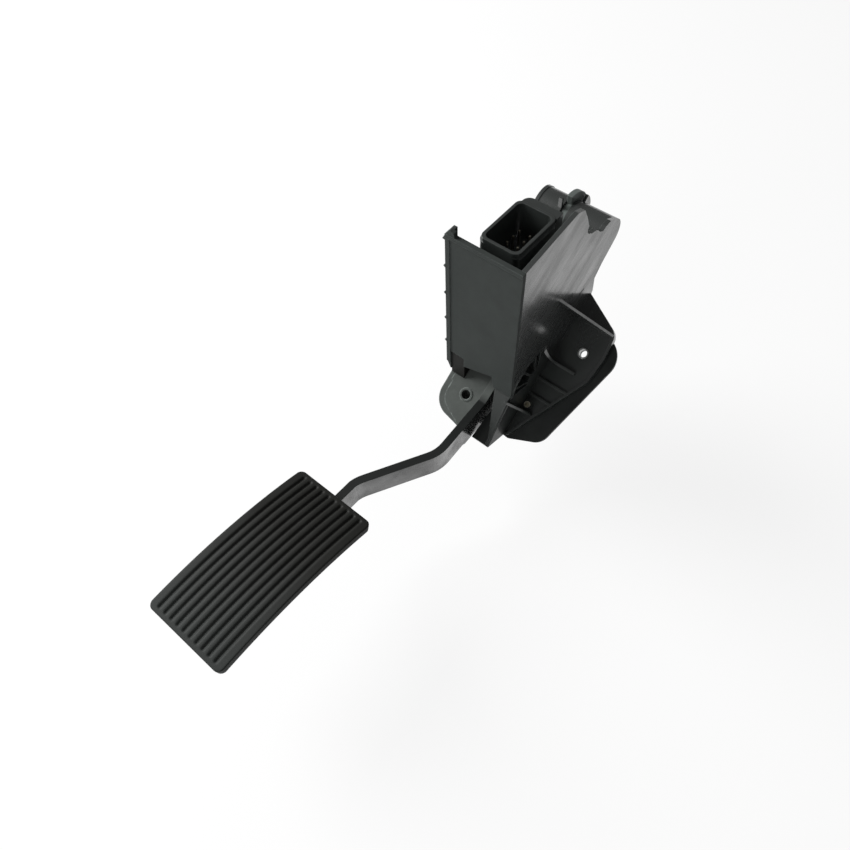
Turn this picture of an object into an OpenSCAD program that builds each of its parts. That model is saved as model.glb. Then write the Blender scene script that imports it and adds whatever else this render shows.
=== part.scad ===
// Suspended accelerator pedal with a position sensor, a bent steel arm and a ribbed rubber pad.
// X runs along the pivot, to the right. The pad looks up along +Z and its front end points to -Y.
// The origin lies on the mounting face, at the foot of the pivot. The mounting face is tilted about X.

/* [Mounting] */
// Angle of the mounting face from level
mount_tilt = 35; // [30:0.5:40]
// Thickness of the mounting plate
plate_t = 3; // [2:0.5:4]
// Thickness of the housing's flange
flange_t = 4; // [3:0.5:6]
// Diameter of the hole through each mounting sleeve
bolt_bore = 5.4; // [4.5:0.1:5.8]
// Outer diameter of each mounting sleeve
sleeve_d = 7.4; // [6.8:0.1:9]
// How far each sleeve stands out of the flange
sleeve_stand = 0.6; // [0.2:0.1:2]
// Sideways place of the right-hand bolt
right_bolt_x = 42.5; // [40:0.5:46]
// Place of the right-hand bolt up the mounting face
right_bolt_s = 30; // [24:0.5:36]
// Sideways place of the two left-hand bolts
left_bolt_x = -36; // [-40:0.5:-34]
// Place of the upper left bolt up the mounting face
upper_bolt_s = 38; // [30:0.5:44]
// Place of the lower left bolt up the mounting face
lower_bolt_s = 2; // [-2:0.5:10]

/* [Housing] */
// Width of the housing over its side walls
body_w = 50; // [48:0.5:54]
// Thickness of the side walls
wall_t = 3; // [2:0.25:4]
// Height of the housing's front above the origin
top_z = 131; // [124:1:138]
// Distance of the front cover's face ahead of the origin
front_y = 37.3; // [35:0.5:40]
// Thickness of the front cover
cover_t = 2.5; // [2:0.25:3.5]
// Radius of the ring of windows around the pivot
fan_outer_r = 26; // [22:0.5:28]
// Radius of the plain disc inside the ring of windows
fan_inner_r = 10.4; // [9.5:0.2:12]
// Depth of the windows around the pivot
fan_depth = 6; // [3:0.5:7]
// Thickness of the stiffening ribs
rib_t = 1.6; // [1.2:0.2:3]
// Height of the low ribs and of the rim above the flange
low_rib_h = 2.2; // [1:0.2:4]

/* [Spring barrel] */
// Distance of the spring barrel behind the origin
barrel_y = 60; // [56:0.5:64]
// Height of the spring barrel above the origin
barrel_z = 86.6; // [82:0.5:90]
// Outer radius of the spring barrel
barrel_r = 12.3; // [11.5:0.1:14]
// Wall of the spring barrel
barrel_wall = 2; // [1.5:0.1:2.5]
// Width of the slit between the two halves of the barrel
barrel_slit = 4.6; // [4.2:0.1:7]
// Sideways place of the slit's middle
slit_x = -5.7; // [-8:0.1:-4]
// Diameter of the spindle through the barrel
spindle_d = 8; // [6:0.5:9]
// Wire of the return springs
spring_wire = 1.8; // [1.2:0.1:2]
// Coils in each return spring
spring_coils = 6; // [4:1:7]

/* [Pivot and arm] */
// Height of the pivot above the mounting face
pivot_h = 16; // [15:0.25:18]
// Diameter of the pivot shaft
shaft_d = 9; // [7:0.5:10]
// Wall of the pivot bushes
bush_wall = 1.8; // [1.2:0.1:2.5]
// Thickness of the steel bar of the arm
bar_t = 5.6; // [4:0.1:7]
// Depth of the steel bar of the arm
bar_depth = 18.5; // [16:0.5:20]
// Height of the bar's upper edge above the mounting face inside the housing
bar_rise = 29.5; // [28:0.25:32]
// Height of the bar's level upper edge above the origin
bar_z = 6; // [4:0.5:8]
// Left face of the bar at the pivot
bar_x = 4; // [3:0.25:5.5]
// Radius of the bar's sideways bends
bend_r = 24; // [10:1:28]
// Length of the bar under the pad
bar_grip = 62; // [40:1:90]
// Thickness of the arm's flange plate
skirt_t = 3; // [2:0.25:4]
// Diameter of the hole in the arm's flange plate
skirt_hole_d = 6.4; // [4:0.2:8]

/* [Pad] */
// Width of the pad
pad_w = 58.5; // [50:0.5:66]
// Length of the pad along its chord
pad_l = 117.5; // [104:0.5:130]
// Height of the pad's crown over its chord
pad_crown = 5.9; // [4:0.1:8]
// Rise of the pad towards its front end, in degrees
pad_pitch = 5.3; // [4:0.1:7]
// Thickness of the rubber
pad_t = 5; // [4:0.25:8]
// Thickness of the steel plate under the rubber
pad_plate_t = 2; // [1.5:0.25:3]
// Number of grooves along the pad
groove_count = 10; // [7:1:12]
// Width of each groove
groove_w = 2.1; // [1.4:0.1:2.6]
// Depth of each groove
groove_depth = 1.6; // [0.8:0.1:2.5]
// Plain border beside the grooves
pad_border = 3.5; // [3:0.25:6]
// Plain border at the ends of the grooves
pad_end = 2.5; // [2:0.25:6]
// Radius of the pad's corners
pad_corner = 4; // [2:0.5:6]

/* [Sensor] */
// Inner width of the connector shroud
plug_w = 22.3; // [20:0.1:23]
// Inner length of the connector shroud
plug_l = 34.4; // [32:0.2:36]
// Depth of the connector shroud
plug_depth = 24; // [18:0.5:28]
// Wall of the connector shroud
plug_wall = 1.9; // [1.4:0.1:2.2]
// Spacing of the pins along a row
pin_pitch = 5.75; // [4:0.05:6.5]
// Spacing of the two rows of pins
row_pitch = 7.4; // [5:0.1:8]
// Width of each pin
pin_w = 1; // [0.6:0.1:1.5]
// Depth of the pins' tips below the rim of the shroud
pin_recess = 9.5; // [6:0.5:12]
// Thickness of the circuit board
board_t = 1.2; // [0.8:0.1:1.6]

/* [Clearances] */
// Radial clearance of the shafts in their bushes
running_fit = 0.05; // [0.02:0.01:0.1]
// Gap beside parts that turn past each other
side_gap = 0.4; // [0.3:0.05:0.6]

/* [Hidden] */
$fn = 48;

half_w = body_w / 2;
inner_x = half_w - wall_t;
flange_top = plate_t + flange_t;
wall_front = -front_y + cover_t;

// Point of the upright frame for a place s up the mounting face and h above it
function up(s, h) = [s * cos(mount_tilt) - h * sin(mount_tilt), s * sin(mount_tilt) + h * cos(mount_tilt)];
// Height above the mounting face of the point y, z
function lift(y, z) = z * cos(mount_tilt) - y * sin(mount_tilt);
// y of the plane that lies h above the mounting face, at z
function plane_y(h, z) = (z * cos(mount_tilt) - h) / sin(mount_tilt);

pivot = up(0, pivot_h);

// Local solids in the frame of the mounting face: X, s up the face, h off the face
module on_mount() rotate([mount_tilt, 0, 0]) children();
// Extrudes an outline drawn in y and z from x0 to x1
module along_x(x0, x1) translate([x0, 0, 0]) rotate([90, 0, 90]) linear_extrude(x1 - x0) children();
// Slice of a disc between two angles
module sector(r, a0, a1) {
    intersection() {
        circle(r = r);
        polygon([[0, 0], for (a = [a0 : (a1 - a0) / 6 : a1 + 0.01]) 2 * r * [cos(a), sin(a)]]);
    }
}
// Round bar along X
module rod(x0, x1, r, at = pivot) translate([x0, at[0], at[1]]) rotate([0, 90, 0]) cylinder(h = x1 - x0, r = r);

// Mounting face

bolts = [[right_bolt_x, right_bolt_s], [left_bolt_x, upper_bolt_s], [left_bolt_x, lower_bolt_s]];
ear_r = 9;
arm_gap_x = 11;

// Left half of the flange and of the plate, with the ear for the left-hand bolts
module left_outline() {
    hull() {
        translate([left_bolt_x, upper_bolt_s]) circle(r = ear_r);
        translate([left_bolt_x + 1, lower_bolt_s]) circle(r = ear_r - 1);
        translate([half_w - 6, 61]) circle(r = 8);
        translate([-half_w + 8, 61]) circle(r = 8);
        translate([0, -10]) square([half_w, 20]);
        translate([-half_w + 6, -10]) circle(r = 6);
    }
}

// Right half of the flange, drawn in by inset
module right_outline(inset = 0) {
    hull() {
        translate([half_w - 6, 61]) circle(r = 8 - inset);
        translate([46.8, 45.2]) circle(r = 9 - inset);
        translate([44.2, 33]) circle(r = 13 - inset);
        translate([44.5, 18]) circle(r = 11.5 - inset);
        translate([half_w, -41]) circle(r = 3.5 - inset);
        translate([arm_gap_x, -44.5]) square([3, 60]);
    }
}

module plate_outline() {
    left_outline();
    hull() {
        translate([half_w - 6, 60]) circle(r = 7);
        translate([47.5, 31.5]) circle(r = 16.4);
        translate([39.5, -28.5]) circle(r = 11.5);
        translate([27, -42]) circle(r = 4);
        translate([arm_gap_x, -44.5]) square([3, 60]);
    }
}

module mounting_plate() {
    color("#2a2e2d") on_mount() difference() {
        linear_extrude(plate_t) plate_outline();
        for (b = bolts) translate([b[0], b[1], -1]) cylinder(h = plate_t + 2, d = bolt_bore);
    }
}

module mounting_sleeves() {
    color("#c9ccca") on_mount() for (b = bolts) translate([b[0], b[1], plate_t]) difference() {
        cylinder(h = flange_t + sleeve_stand, d = sleeve_d);
        translate([0, 0, -1]) cylinder(h = flange_t + sleeve_stand + 2, d = bolt_bore);
    }
}

// Brass insert beside the wall

insert_d = 4.6;
insert_bore = 2.4;
insert_at = [half_w + insert_d / 2 + 0.9, -18.6];
insert_boss = 1.1;

module locating_insert() {
    color("#b29a5a") on_mount() translate([insert_at[0], insert_at[1], plate_t]) difference() {
        cylinder(h = flange_t + insert_boss, d = insert_d);
        translate([0, 0, 1.5]) cylinder(h = flange_t + insert_boss, d = insert_bore);
    }
}

// Housing

barrel = [barrel_y, barrel_z];
back_s = 69.4;
toe_tip = [-front_y - 22, -13.7];
toe_floor_rise = 7.9;
right_boss_x = 0.64 * half_w;
bush_l = 6.5;
left_bush_l = 5.4;
bush_r = shaft_d / 2 + running_fit + bush_wall;
slit_left = slit_x - barrel_slit / 2;
slit_right = slit_x + barrel_slit / 2;
boss_end = half_w + 1.6;
barrel_bore = barrel_r - barrel_wall;
barrel_foot = [barrel_y + 8.7, barrel_z - 8.7];
back_bend = [barrel_y - 2.8, barrel_z - 20.7];
back_low = [barrel_y - 8.5, barrel_z - 29.1];
back_t = 4;

// Right wall seen from the side, from the front corner round by the barrel to the toe
module right_wall_outline() {
    difference() {
        union() {
            polygon([[wall_front, top_z], [12.6, top_z + 7.2], [19.5, top_z + 4.5], [23.7, top_z - 3],
                [27, top_z - 10], [32.8, top_z - 22], [39.7, top_z - 23.9], [barrel_y - 15.2, barrel_z + 15.5],
                [barrel_y - 11.3, barrel_z + 13.2], [barrel_y - 8.4, barrel_z + 15], [barrel_y - 3, barrel_z + 15.2],
                [barrel_y + 4.8, barrel_z + 11.3], barrel, barrel_foot,
                back_bend, back_low, up(back_s, flange_top), up(back_s - 5, plate_t),
                up(-44.6, plate_t), up(-44.6, flange_top), toe_tip, [wall_front, 18]]);
            translate(barrel) circle(r = barrel_r);
        }
        translate([32.2, top_z - 16]) circle(r = 4.6);
    }
}

// Left wall, lower than the right one because the sensor stands beside it
module left_wall_outline() {
    polygon([[wall_front, top_z - 4], [-16, top_z - 34], [20, 62], [barrel_y - 9, barrel_z - 4], barrel,
        barrel_foot, back_bend, back_low, up(back_s, flange_top),
        up(back_s - 5, plate_t), up(-12, plate_t), [wall_front, 19]]);
    translate(barrel) circle(r = barrel_r);
}

// Closes the housing behind, between the two walls
module back_wall_outline() {
    polygon([barrel_foot, back_bend, back_low, up(back_s, flange_top), up(back_s - 5, plate_t),
        up(back_s - 5 - back_t, plate_t), up(back_s - back_t, flange_top), back_low + [-3.7, 1],
        back_bend + [-3.2, 2.6], [barrel_y + 4, barrel_z - 10.5]]);
}

fan_spokes = [97, 126, 152];
fan_start = 84;
fan_end = 165;
spoke_w = 1.7;

// Dark windows between the spokes, about the pivot
module fan_windows() {
    along_x(half_w - fan_depth, half_w + 2) translate(pivot) difference() {
        sector(fan_outer_r, fan_start, fan_end);
        circle(r = fan_inner_r);
        for (a = fan_spokes) rotate(a) translate([0, -spoke_w / 2]) square([fan_outer_r + 2, spoke_w]);
    }
}

fan_rim_w = 1.3;
fan_rim_h = 0.6;

// Low rim around the windows
module fan_rim() {
    along_x(half_w - 0.6, half_w + fan_rim_h) translate(pivot) difference() {
        sector(fan_outer_r + fan_rim_w, fan_start - 3, fan_end + 3);
        circle(r = fan_inner_r - fan_rim_w);
    }
}

rib_x = inner_x + wall_t / 3;

// Web on the flange that falls from the wall to the rim
module gusset(s, reach, wall_h) {
    on_mount() translate([0, s + rib_t / 2, 0]) rotate([90, 0, 0]) linear_extrude(rib_t)
        polygon([[rib_x, flange_top - 1], [rib_x, wall_h], [half_w, wall_h], [reach, flange_top + low_rib_h],
            [reach, flange_top - 1]]);
}

opening_x = inner_x + wall_t / 2;
curl_r = 9;

// Curved web that starts on the wall and turns towards the right-hand bolt
module curled_rib() {
    intersection() {
        on_mount() translate([0, 0, plate_t + 1]) linear_extrude(60) {
            translate([half_w - 1 + curl_r, 15.2 + curl_r]) difference() {
                circle(r = curl_r + rib_t / 2);
                circle(r = curl_r - rib_t / 2);
                translate([0, -20]) square(40);
                translate([-20, 0]) square(40);
            }
            translate([half_w - 1 + curl_r, 15.2 - rib_t / 2]) square([12.4, rib_t]);
        }
        on_mount() translate([0, 60, 0]) rotate([90, 0, 0]) linear_extrude(120)
            polygon([[half_w - 2, flange_top - 1], [half_w - 2, 31], [half_w + 1, 30], [33, 13],
                [46.5, flange_top + low_rib_h], [46.5, flange_top - 1]]);
    }
}

module low_rib(s, x_end) {
    on_mount() translate([rib_x, s - rib_t / 2, flange_top - 1]) cube([x_end - rib_x, rib_t, low_rib_h + 1]);
}

// Small closed slot in the right wall
module wall_slot(y, z) {
    along_x(inner_x - 1, half_w + 1) translate([y, z]) rotate(14) square([5.4, 1.3], center = true);
}

nub_r = 17.2;
tab_w = 2.5;
bead_w = 2.4;

// Nub on the right half of the barrel and upright tab on the left half, beside the return lever's head
module barrel_stops() {
    along_x(slit_right + 1, slit_right + 3) translate(barrel) sector(nub_r, 5, 42);
    translate([slit_left - tab_w - 0.1, barrel_y - 6.8, barrel_z + 6]) cube([tab_w, 1.8, 11.2]);
    rod(-boss_end, -boss_end + bead_w, barrel_r + 0.5, barrel);
}

toe_x = half_w - 1;

// Toe at the lower front corner: a slanting face under the cover and a small floor in front of it
module toe() {
    run = [toe_x - arm_gap_x, toe_tip[0] - wall_front];
    slope = atan2(toe_floor_rise, -run[1]);
    difference() {
        along_x(arm_gap_x, toe_x) polygon([[wall_front + 1, 20], [wall_front - 0.5, 20], toe_tip + [0.6, 0.3],
            up(-44, flange_top - 1), up(-32, flange_top)]);
        translate([arm_gap_x, wall_front, toe_tip[1] - 5]) rotate([0, 0, atan2(run[1], run[0])])
            translate([-1, -40, 0]) cube([60, 40, 60]);
    }
    translate([0, toe_tip[0] + 0.3, toe_tip[1]]) rotate([slope, 0, 0]) translate([0, 0, -1.6]) linear_extrude(1.6)
        polygon([[arm_gap_x, 0], [toe_x, 0], [toe_x, 8], [arm_gap_x + 3, 26], [arm_gap_x, 26]]);
}

module housing() {
    color("#303332") difference() {
        union() {
            along_x(inner_x, half_w) right_wall_outline();
            along_x(-half_w, -inner_x) left_wall_outline();
            along_x(-inner_x, inner_x) back_wall_outline();
            on_mount() difference() {
                union() {
                    translate([0, 0, plate_t]) linear_extrude(flange_t) {
                        left_outline();
                        right_outline();
                    }
                    intersection() {
                        translate([0, 0, flange_top - 1]) linear_extrude(low_rib_h + 1) difference() {
                            right_outline();
                            right_outline(rib_t);
                        }
                        translate([half_w - 1, -50, 0]) cube([60, 105, 30]);
                    }
                    for (b = bolts) translate([b[0], b[1], plate_t]) cylinder(h = flange_t, d = sleeve_d + 4);
                }
                translate([-opening_x, -60, plate_t - 1]) cube([2 * opening_x, 55 + back_s, flange_t + 2]);
            }
            on_mount() translate([insert_at[0], insert_at[1], plate_t])
                cylinder(h = flange_t + insert_boss - 0.3, d = insert_d + 2.4);
            gusset(49.2, 54.4, 55);
            gusset(-23.3, 34.4, 38.6);
            curled_rib();
            low_rib(1.2, 49.4);
            low_rib(-10.9, 43.7);
            rod(slit_right, half_w, barrel_r, barrel);
            rod(-boss_end, slit_left, barrel_r, barrel);
            barrel_stops();
            fan_rim();
            along_x(right_boss_x, half_w - 0.5) intersection() {
                translate(pivot) circle(r = fan_outer_r + 1);
                rotate(mount_tilt) translate([-60, plate_t + 0.6]) square([120, 60]);
                translate([wall_front + 0.5, -40]) square(100);
            }
            toe();
        }
        rod(right_boss_x - 1, right_boss_x + bush_l, bush_r);
        rod(-half_w - 1, -inner_x + 3, bush_r);
        rod(-boss_end + bead_w, slit_left + 1, barrel_bore, barrel);
        rod(slit_right - 1, inner_x, barrel_bore, barrel);
        rod(-boss_end - 1, slit_left, spindle_d / 2, barrel);
        rod(slit_right, inner_x + 1.5, spindle_d / 2, barrel);
        fan_windows();
        translate([stop_x[0], -front_y, 0]) cube([stop_x[1] - stop_x[0], stop_back + front_y, 31]);
        wall_slot(21.5, 65.8);
        wall_slot(36.3, 57.9);
        on_mount() for (b = bolts) translate([b[0], b[1], 0]) cylinder(h = 30, d = sleeve_d);
        on_mount() translate([insert_at[0], insert_at[1], plate_t - 1]) cylinder(h = 20, d = insert_d);
    }
}

// Front cover

cover_left = half_w + 2.7;
lip_left = [-half_w + 10.4, 22];
lip_right = [9.5, 30];
return_depth = 8;
nub_places = [24.5, 46.6, 69.1, 90.9];
stop_x = [-half_w + 0.7, -half_w + 11.4];
stop_back = -30;

module front_cover() {
    color("#3d4140") difference() {
        union() {
            translate([0, -front_y + cover_t, 0]) rotate([90, 0, 0]) linear_extrude(cover_t) polygon([
                [-cover_left, top_z], [half_w, top_z], [half_w, 20.2], [arm_gap_x, 20.2],
                [lip_right[0] + 0.6, 24], lip_right, lip_left, lip_left - [1, 9.8], lip_left - [2.8, 11.6],
                [-half_w + 4, 10.3], [-half_w, 12.8], [-cover_left, 19]]);
            translate([-cover_left, -front_y, 26]) cube([2.4, return_depth, top_z - 26]);
            translate([-cover_left, -front_y - 0.7, top_z - 2.6]) cube([cover_left + half_w, 1.7, 2.6]);
            translate([-cover_left, -front_y - 0.5, 19]) cube([3.2, 1.5, top_z - 19]);
            translate([0, -front_y + cover_t, 0]) rotate([90, 0, 0]) linear_extrude(cover_t + 0.4) polygon([
                [-cover_left - 1.9, top_z - 4.4], [-cover_left + 0.7, top_z + 0.6], [-cover_left + 3.1, top_z + 3.6],
                [-cover_left + 6.3, top_z + 2.8], [-cover_left + 7.1, top_z - 1], [-cover_left + 0.7, top_z - 4.8]]);
            for (drop = nub_places) translate([-cover_left - 0.2, -front_y + 0.4, top_z - drop])
                rotate([0, 45, 0]) cube([1.6, 2, 1.6], center = true);
        }
        translate([stop_x[0], -front_y - 3, 9]) cube([stop_x[1] - stop_x[0], cover_t + 6, 21.5]);
    }
}

skirt_top = bar_rise - 1.8;

module idle_stop() {
    color("#141615") difference() {
        translate([stop_x[0], -front_y + 0.8, 0]) cube([stop_x[1] - stop_x[0], stop_back + front_y - 0.8, 30.5]);
        on_mount() translate([-60, -80, skirt_top - 80]) cube([120, 160, 80]);
    }
}

module full_stop() {
    color("#141615") on_mount() translate([bar_x + bar_t / 2, -13, plate_t]) {
        cylinder(h = 1, d = 9);
        translate([0, 0, 1]) cylinder(h = 1, d1 = 9, d2 = 6);
    }
}

// Pivot

shaft_left = -half_w;
shaft_right = right_boss_x + bush_l - side_gap;
cover_room = 3;
leg_t = 8.4;
leg_gap = 0.6;
leg_x = [-inner_x + cover_room, -inner_x + cover_room + leg_t];
hub_left = leg_x[1] + leg_gap;
clip_t = 0.9;
clip_groove = 1;
clip_x = leg_x[0] + 0.45;

module pivot_shaft() {
    color("#a9adab") difference() {
        rod(shaft_left, shaft_right, shaft_d / 2);
        rod(clip_x - 0.05, clip_x + clip_t + 0.05, shaft_d, pivot);
    }
    color("#a9adab") rod(clip_x - 0.5, clip_x + clip_t + 0.5, shaft_d / 2 - clip_groove);
}

module left_bush() {
    color("#7d7f78") difference() {
        rod(-half_w, -half_w + left_bush_l, bush_r);
        rod(-half_w - 1, -half_w + left_bush_l + 1, shaft_d / 2 + running_fit);
    }
}

module right_bush() {
    color("#7d7f78") difference() {
        rod(right_boss_x, right_boss_x + bush_l, bush_r);
        rod(right_boss_x - 1, right_boss_x + bush_l + 1, shaft_d / 2 + running_fit);
    }
}

module shaft_clip() {
    color("#8f9391") difference() {
        rod(clip_x, clip_x + clip_t, shaft_d / 2 + 1.6);
        rod(clip_x - 1, clip_x + clip_t + 1, shaft_d / 2 - clip_groove);
    }
}

// Arm

lead = [bar_x + bar_t / 2, 60];
arm_a = [bar_x + bar_t / 2, -44];
arm_b = [bar_x + bar_t / 2 + 2.4, -92];
arm_c = [-17.8, -140];
arm_d = [-22.2, -162];
arm_e = [-20.4, -162 - bar_grip];

function unit(v) = v / norm(v);
// Points of the rounded corner b of the line a, b, c
function corner(a, b, c, r, n = 6) =
    let (u = unit(a - b), w = unit(c - b), half = acos(u * w) / 2, d = r / tan(half),
        middle = b + unit(u + w) * r / sin(half), p = b + u * d - middle,
        turn = (u[0] * w[1] - u[1] * w[0]) > 0 ? -1 : 1)
    [for (i = [0 : n]) let (a = turn * i / n * (180 - 2 * half))
        middle + [p[0] * cos(a) - p[1] * sin(a), p[0] * sin(a) + p[1] * cos(a)]];
arm_line = concat([lead], [arm_a], corner(arm_a, arm_b, arm_c, bend_r), corner(arm_b, arm_c, arm_d, bend_r),
    [arm_e]);
function side(i) = let (n = len(arm_line) - 1,
    t = unit(arm_line[min(n, i + 1)] - arm_line[max(0, i - 1)])) [-t[1], t[0]] * bar_t / 2;

elbow_top = [plane_y(bar_rise, bar_z), bar_z];
elbow_low = [plane_y(bar_rise - bar_depth, bar_z - bar_depth), bar_z - bar_depth];
bar_tail = 13;
pad_back = [-159, 16];
pad_x = -16.4;

// Frame of the pad: its origin is at the middle of the pad's back end, on top
module on_pad() translate([pad_x, pad_back[0], pad_back[1]]) rotate([-pad_pitch, 0, 0]) children();
pad_radius = (pad_l * pad_l / 4 + pad_crown * pad_crown) / (2 * pad_crown);

// Round shell under the pad's top face, from depth d0 to depth d1
module pad_shell(d0, d1, w) {
    translate([0, -pad_l / 2, pad_crown - pad_radius]) rotate([0, 90, 0]) difference() {
        cylinder(h = w, r = pad_radius - d0, center = true, $fn = 200);
        cylinder(h = w + 2, r = pad_radius - d1, center = true, $fn = 200);
    }
}

module arm_bar() {
    color("#8b908d") difference() {
        intersection() {
            translate([0, 0, -60]) linear_extrude(160) polygon(concat(
                [for (i = [0 : len(arm_line) - 1]) arm_line[i] + side(i)],
                [for (i = [len(arm_line) - 1 : -1 : 0]) arm_line[i] - side(i)]));
            along_x(-60, 60) polygon([elbow_top, up(bar_tail - 4, bar_rise), up(bar_tail, bar_rise - 4),
                up(bar_tail, bar_rise - bar_depth + 5), up(bar_tail - 5, bar_rise - bar_depth),
                elbow_low + [2, 0], elbow_low + [-8, -2], [elbow_low[0] - 29, elbow_low[1] - 2],
                [elbow_low[0] - 32, elbow_low[1]], [pad_back[0] + 8, elbow_low[1]],
                [pad_back[0] - bar_grip, 8], [pad_back[0] - bar_grip, 40], [pad_back[0], 40],
                [pad_back[0] + 1, bar_z]]);
        }
        on_pad() difference() {
            translate([-40, -pad_l - 20, -pad_t - pad_plate_t - 40]) cube([80, pad_l + 24, 100]);
            translate([0, -pad_l / 2, pad_crown - pad_radius]) rotate([0, 90, 0])
                cylinder(h = 90, r = pad_radius - pad_t - pad_plate_t, center = true, $fn = 200);
        }
        rod(bar_x - 2, bar_x + bar_t + 4, shaft_d / 2);
        for (p = rivet_places) rod(bar_x - 2, bar_x + bar_t + 4, rivet_d / 2, up(p[0], p[1]));
    }
}

rivet_d = 4;
rivet_head_r = 3.6;
rivet_head_t = 0.9;
rivet_places = [[-20, 20.8], [-10, 23.6]];
casting_x = -2;
hub_r = 8.4;
tail_s = 43;
tail_h = 18;
tail_r = 3.2;
roller_r = 4;

// Cast piece beside the bar: the flange plate, the hub on the shaft and the tail for the return lever
module arm_casting() {
    color("#5a615b") difference() {
        union() {
            on_mount() along_x(casting_x, bar_x) polygon([[-52, skirt_top - skirt_t], [-50, skirt_top],
                [8, skirt_top], [bar_tail, skirt_top - 5], [bar_tail, 10.6], [-6, 10.6], [-14, 13],
                [-46, skirt_top - 8]]);
            rod(hub_left, bar_x, hub_r);
            on_mount() translate([0, 0, skirt_top - skirt_t]) linear_extrude(skirt_t - 1) skirt_outline(0);
            on_mount() translate([0, 0, skirt_top - 1.2]) linear_extrude(1.2) intersection() {
                skirt_outline(4.6);
                translate([skirt_left, -60]) square([40, 60]);
                translate([2, -35]) circle(r = 28);
            }
            on_mount() translate([skirt_hole[0], skirt_hole[1], skirt_top - 1])
                cylinder(h = 1 + ring_t, d = skirt_hole_d + 3);
            on_mount() translate([skirt_hole[0], skirt_hole[1], skirt_top - hole_deep - 1.5])
                cylinder(h = hole_deep, d = skirt_hole_d + 3.8);
            on_mount() along_x(slit_left + side_gap, casting_x + 1) hull() {
                translate([0, pivot_h]) circle(r = 6);
                translate([tail_s, tail_h]) circle(r = tail_r);
            }
        }
        rod(-half_w, bar_x + 1, shaft_d / 2);
        on_mount() translate([skirt_hole[0], skirt_hole[1], skirt_top - hole_deep])
            cylinder(h = 60, d = skirt_hole_d);
        for (p = rivet_places) rod(casting_x - 2, bar_x + 1, rivet_d / 2, up(p[0], p[1]));
    }
}

skirt_back = -14;
skirt_left = -25;
skirt_hole = [-6.3, -33.7];
ring_t = 0.5;
hole_deep = 6;

// Flange plate seen square on, drawn in by inset on its free side
module skirt_outline(inset) {
    intersection() {
        hull() {
            translate([-10, -38]) circle(r = 15 - inset);
            translate([1, -45.3]) circle(r = 10 - inset / 4);
            translate([skirt_left + inset, -38]) square([bar_x - 2 - skirt_left - inset, 13.5]);
        }
        translate([skirt_left, -60]) square([bar_x - skirt_left, 60]);
    }
    translate([-half_w + wall_t + side_gap, -30]) square([bar_x - 2 + half_w - wall_t - side_gap, skirt_back + 30]);
}

module arm_rivets() {
    color("#9a9f9c") for (p = rivet_places) {
        rod(casting_x, bar_x + bar_t, rivet_d / 2, up(p[0], p[1]));
        rod(casting_x - rivet_head_t, casting_x, rivet_head_r, up(p[0], p[1]));
        rod(bar_x + bar_t, bar_x + bar_t + rivet_head_t, rivet_head_r, up(p[0], p[1]));
    }
}

// Pad

module pad_footprint(grow, depth, length) {
    translate([0, -pad_l / 2, -depth]) linear_extrude(2 * depth) hull()
        for (x = [-1, 1], y = [-1, 1]) translate([x * (pad_w / 2 - pad_corner), y * (length / 2 - pad_corner)])
            circle(r = pad_corner + grow);
}

pad_plate_inset = 3;

module pad_plate() {
    color("#6a6e6b") on_pad() intersection() {
        pad_shell(pad_t, pad_t + pad_plate_t, pad_w + 10);
        pad_footprint(-pad_plate_inset, 40, pad_l);
    }
}

groove_pitch = (pad_w - 2 * pad_border) / groove_count;

module pad_rubber() {
    color("#191b18") on_pad() difference() {
        intersection() {
            pad_shell(0, pad_t, pad_w + 10);
            pad_footprint(0, 40, pad_l);
        }
        intersection() {
            pad_shell(-3, groove_depth, pad_w + 10);
            translate([0, 0, -40]) linear_extrude(80) for (i = [0 : groove_count - 1])
                translate([(i - (groove_count - 1) / 2) * groove_pitch, -pad_l / 2])
                    square([groove_w, pad_l - 2 * pad_end], center = true);
        }
    }
}

// Return mechanism

roller_gap = 0.3;
roller_pin_d = 2.4;
roller_side = 0.1;
fork_t = 0.9;
head_r = 17.8;
lever_x = [slit_left + side_gap, slit_right - side_gap];
roller_w = lever_x[1] - lever_x[0] - 2 * fork_t - 2 * roller_side;
lever_tip = [tail_s - 1, tail_h + tail_r + roller_r + roller_gap];
barrel_sh = [barrel_y * cos(mount_tilt) + barrel_z * sin(mount_tilt), lift(barrel_y, barrel_z)];

module return_lever() {
    color("#4a4f4c") difference() {
        on_mount() along_x(lever_x[0], lever_x[1]) {
            hull() {
                translate(barrel_sh) circle(r = 7);
                translate(lever_tip) circle(r = roller_r - 0.6);
            }
            translate(barrel_sh) circle(r = barrel_r - 1.2);
            translate(barrel_sh) rotate(-mount_tilt) sector(head_r, 12, 97);
        }
        rod(lever_x[0] - 1, lever_x[1] + 1, spindle_d / 2 + running_fit, barrel);
        on_mount() translate([0, lever_tip[0], lever_tip[1]]) rotate([0, 90, 0])
            cylinder(h = 60, d = roller_pin_d, center = true);
        on_mount() along_x(lever_x[0] + fork_t, lever_x[1] - fork_t) translate(lever_tip) circle(r = roller_r + 1);
    }
}

module lever_roller() {
    color("#20221f") on_mount() translate([0, lever_tip[0], lever_tip[1]]) rotate([0, 90, 0]) difference() {
        translate([0, 0, lever_x[0] + fork_t + roller_side]) cylinder(h = roller_w, r = roller_r);
        translate([0, 0, lever_x[0]]) cylinder(h = 10, r = roller_pin_d / 2 + running_fit);
    }
}

module roller_pin() {
    color("#a9adab") on_mount() translate([lever_x[0], lever_tip[0], lever_tip[1]]) rotate([0, 90, 0])
        cylinder(h = lever_x[1] - lever_x[0], d = roller_pin_d);
}

module spring_spindle() {
    color("#a9adab") rod(-boss_end, inner_x + 1.5, spindle_d / 2, barrel);
}

spring_mean = barrel_bore - 0.8 - spring_wire / 2;

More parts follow.
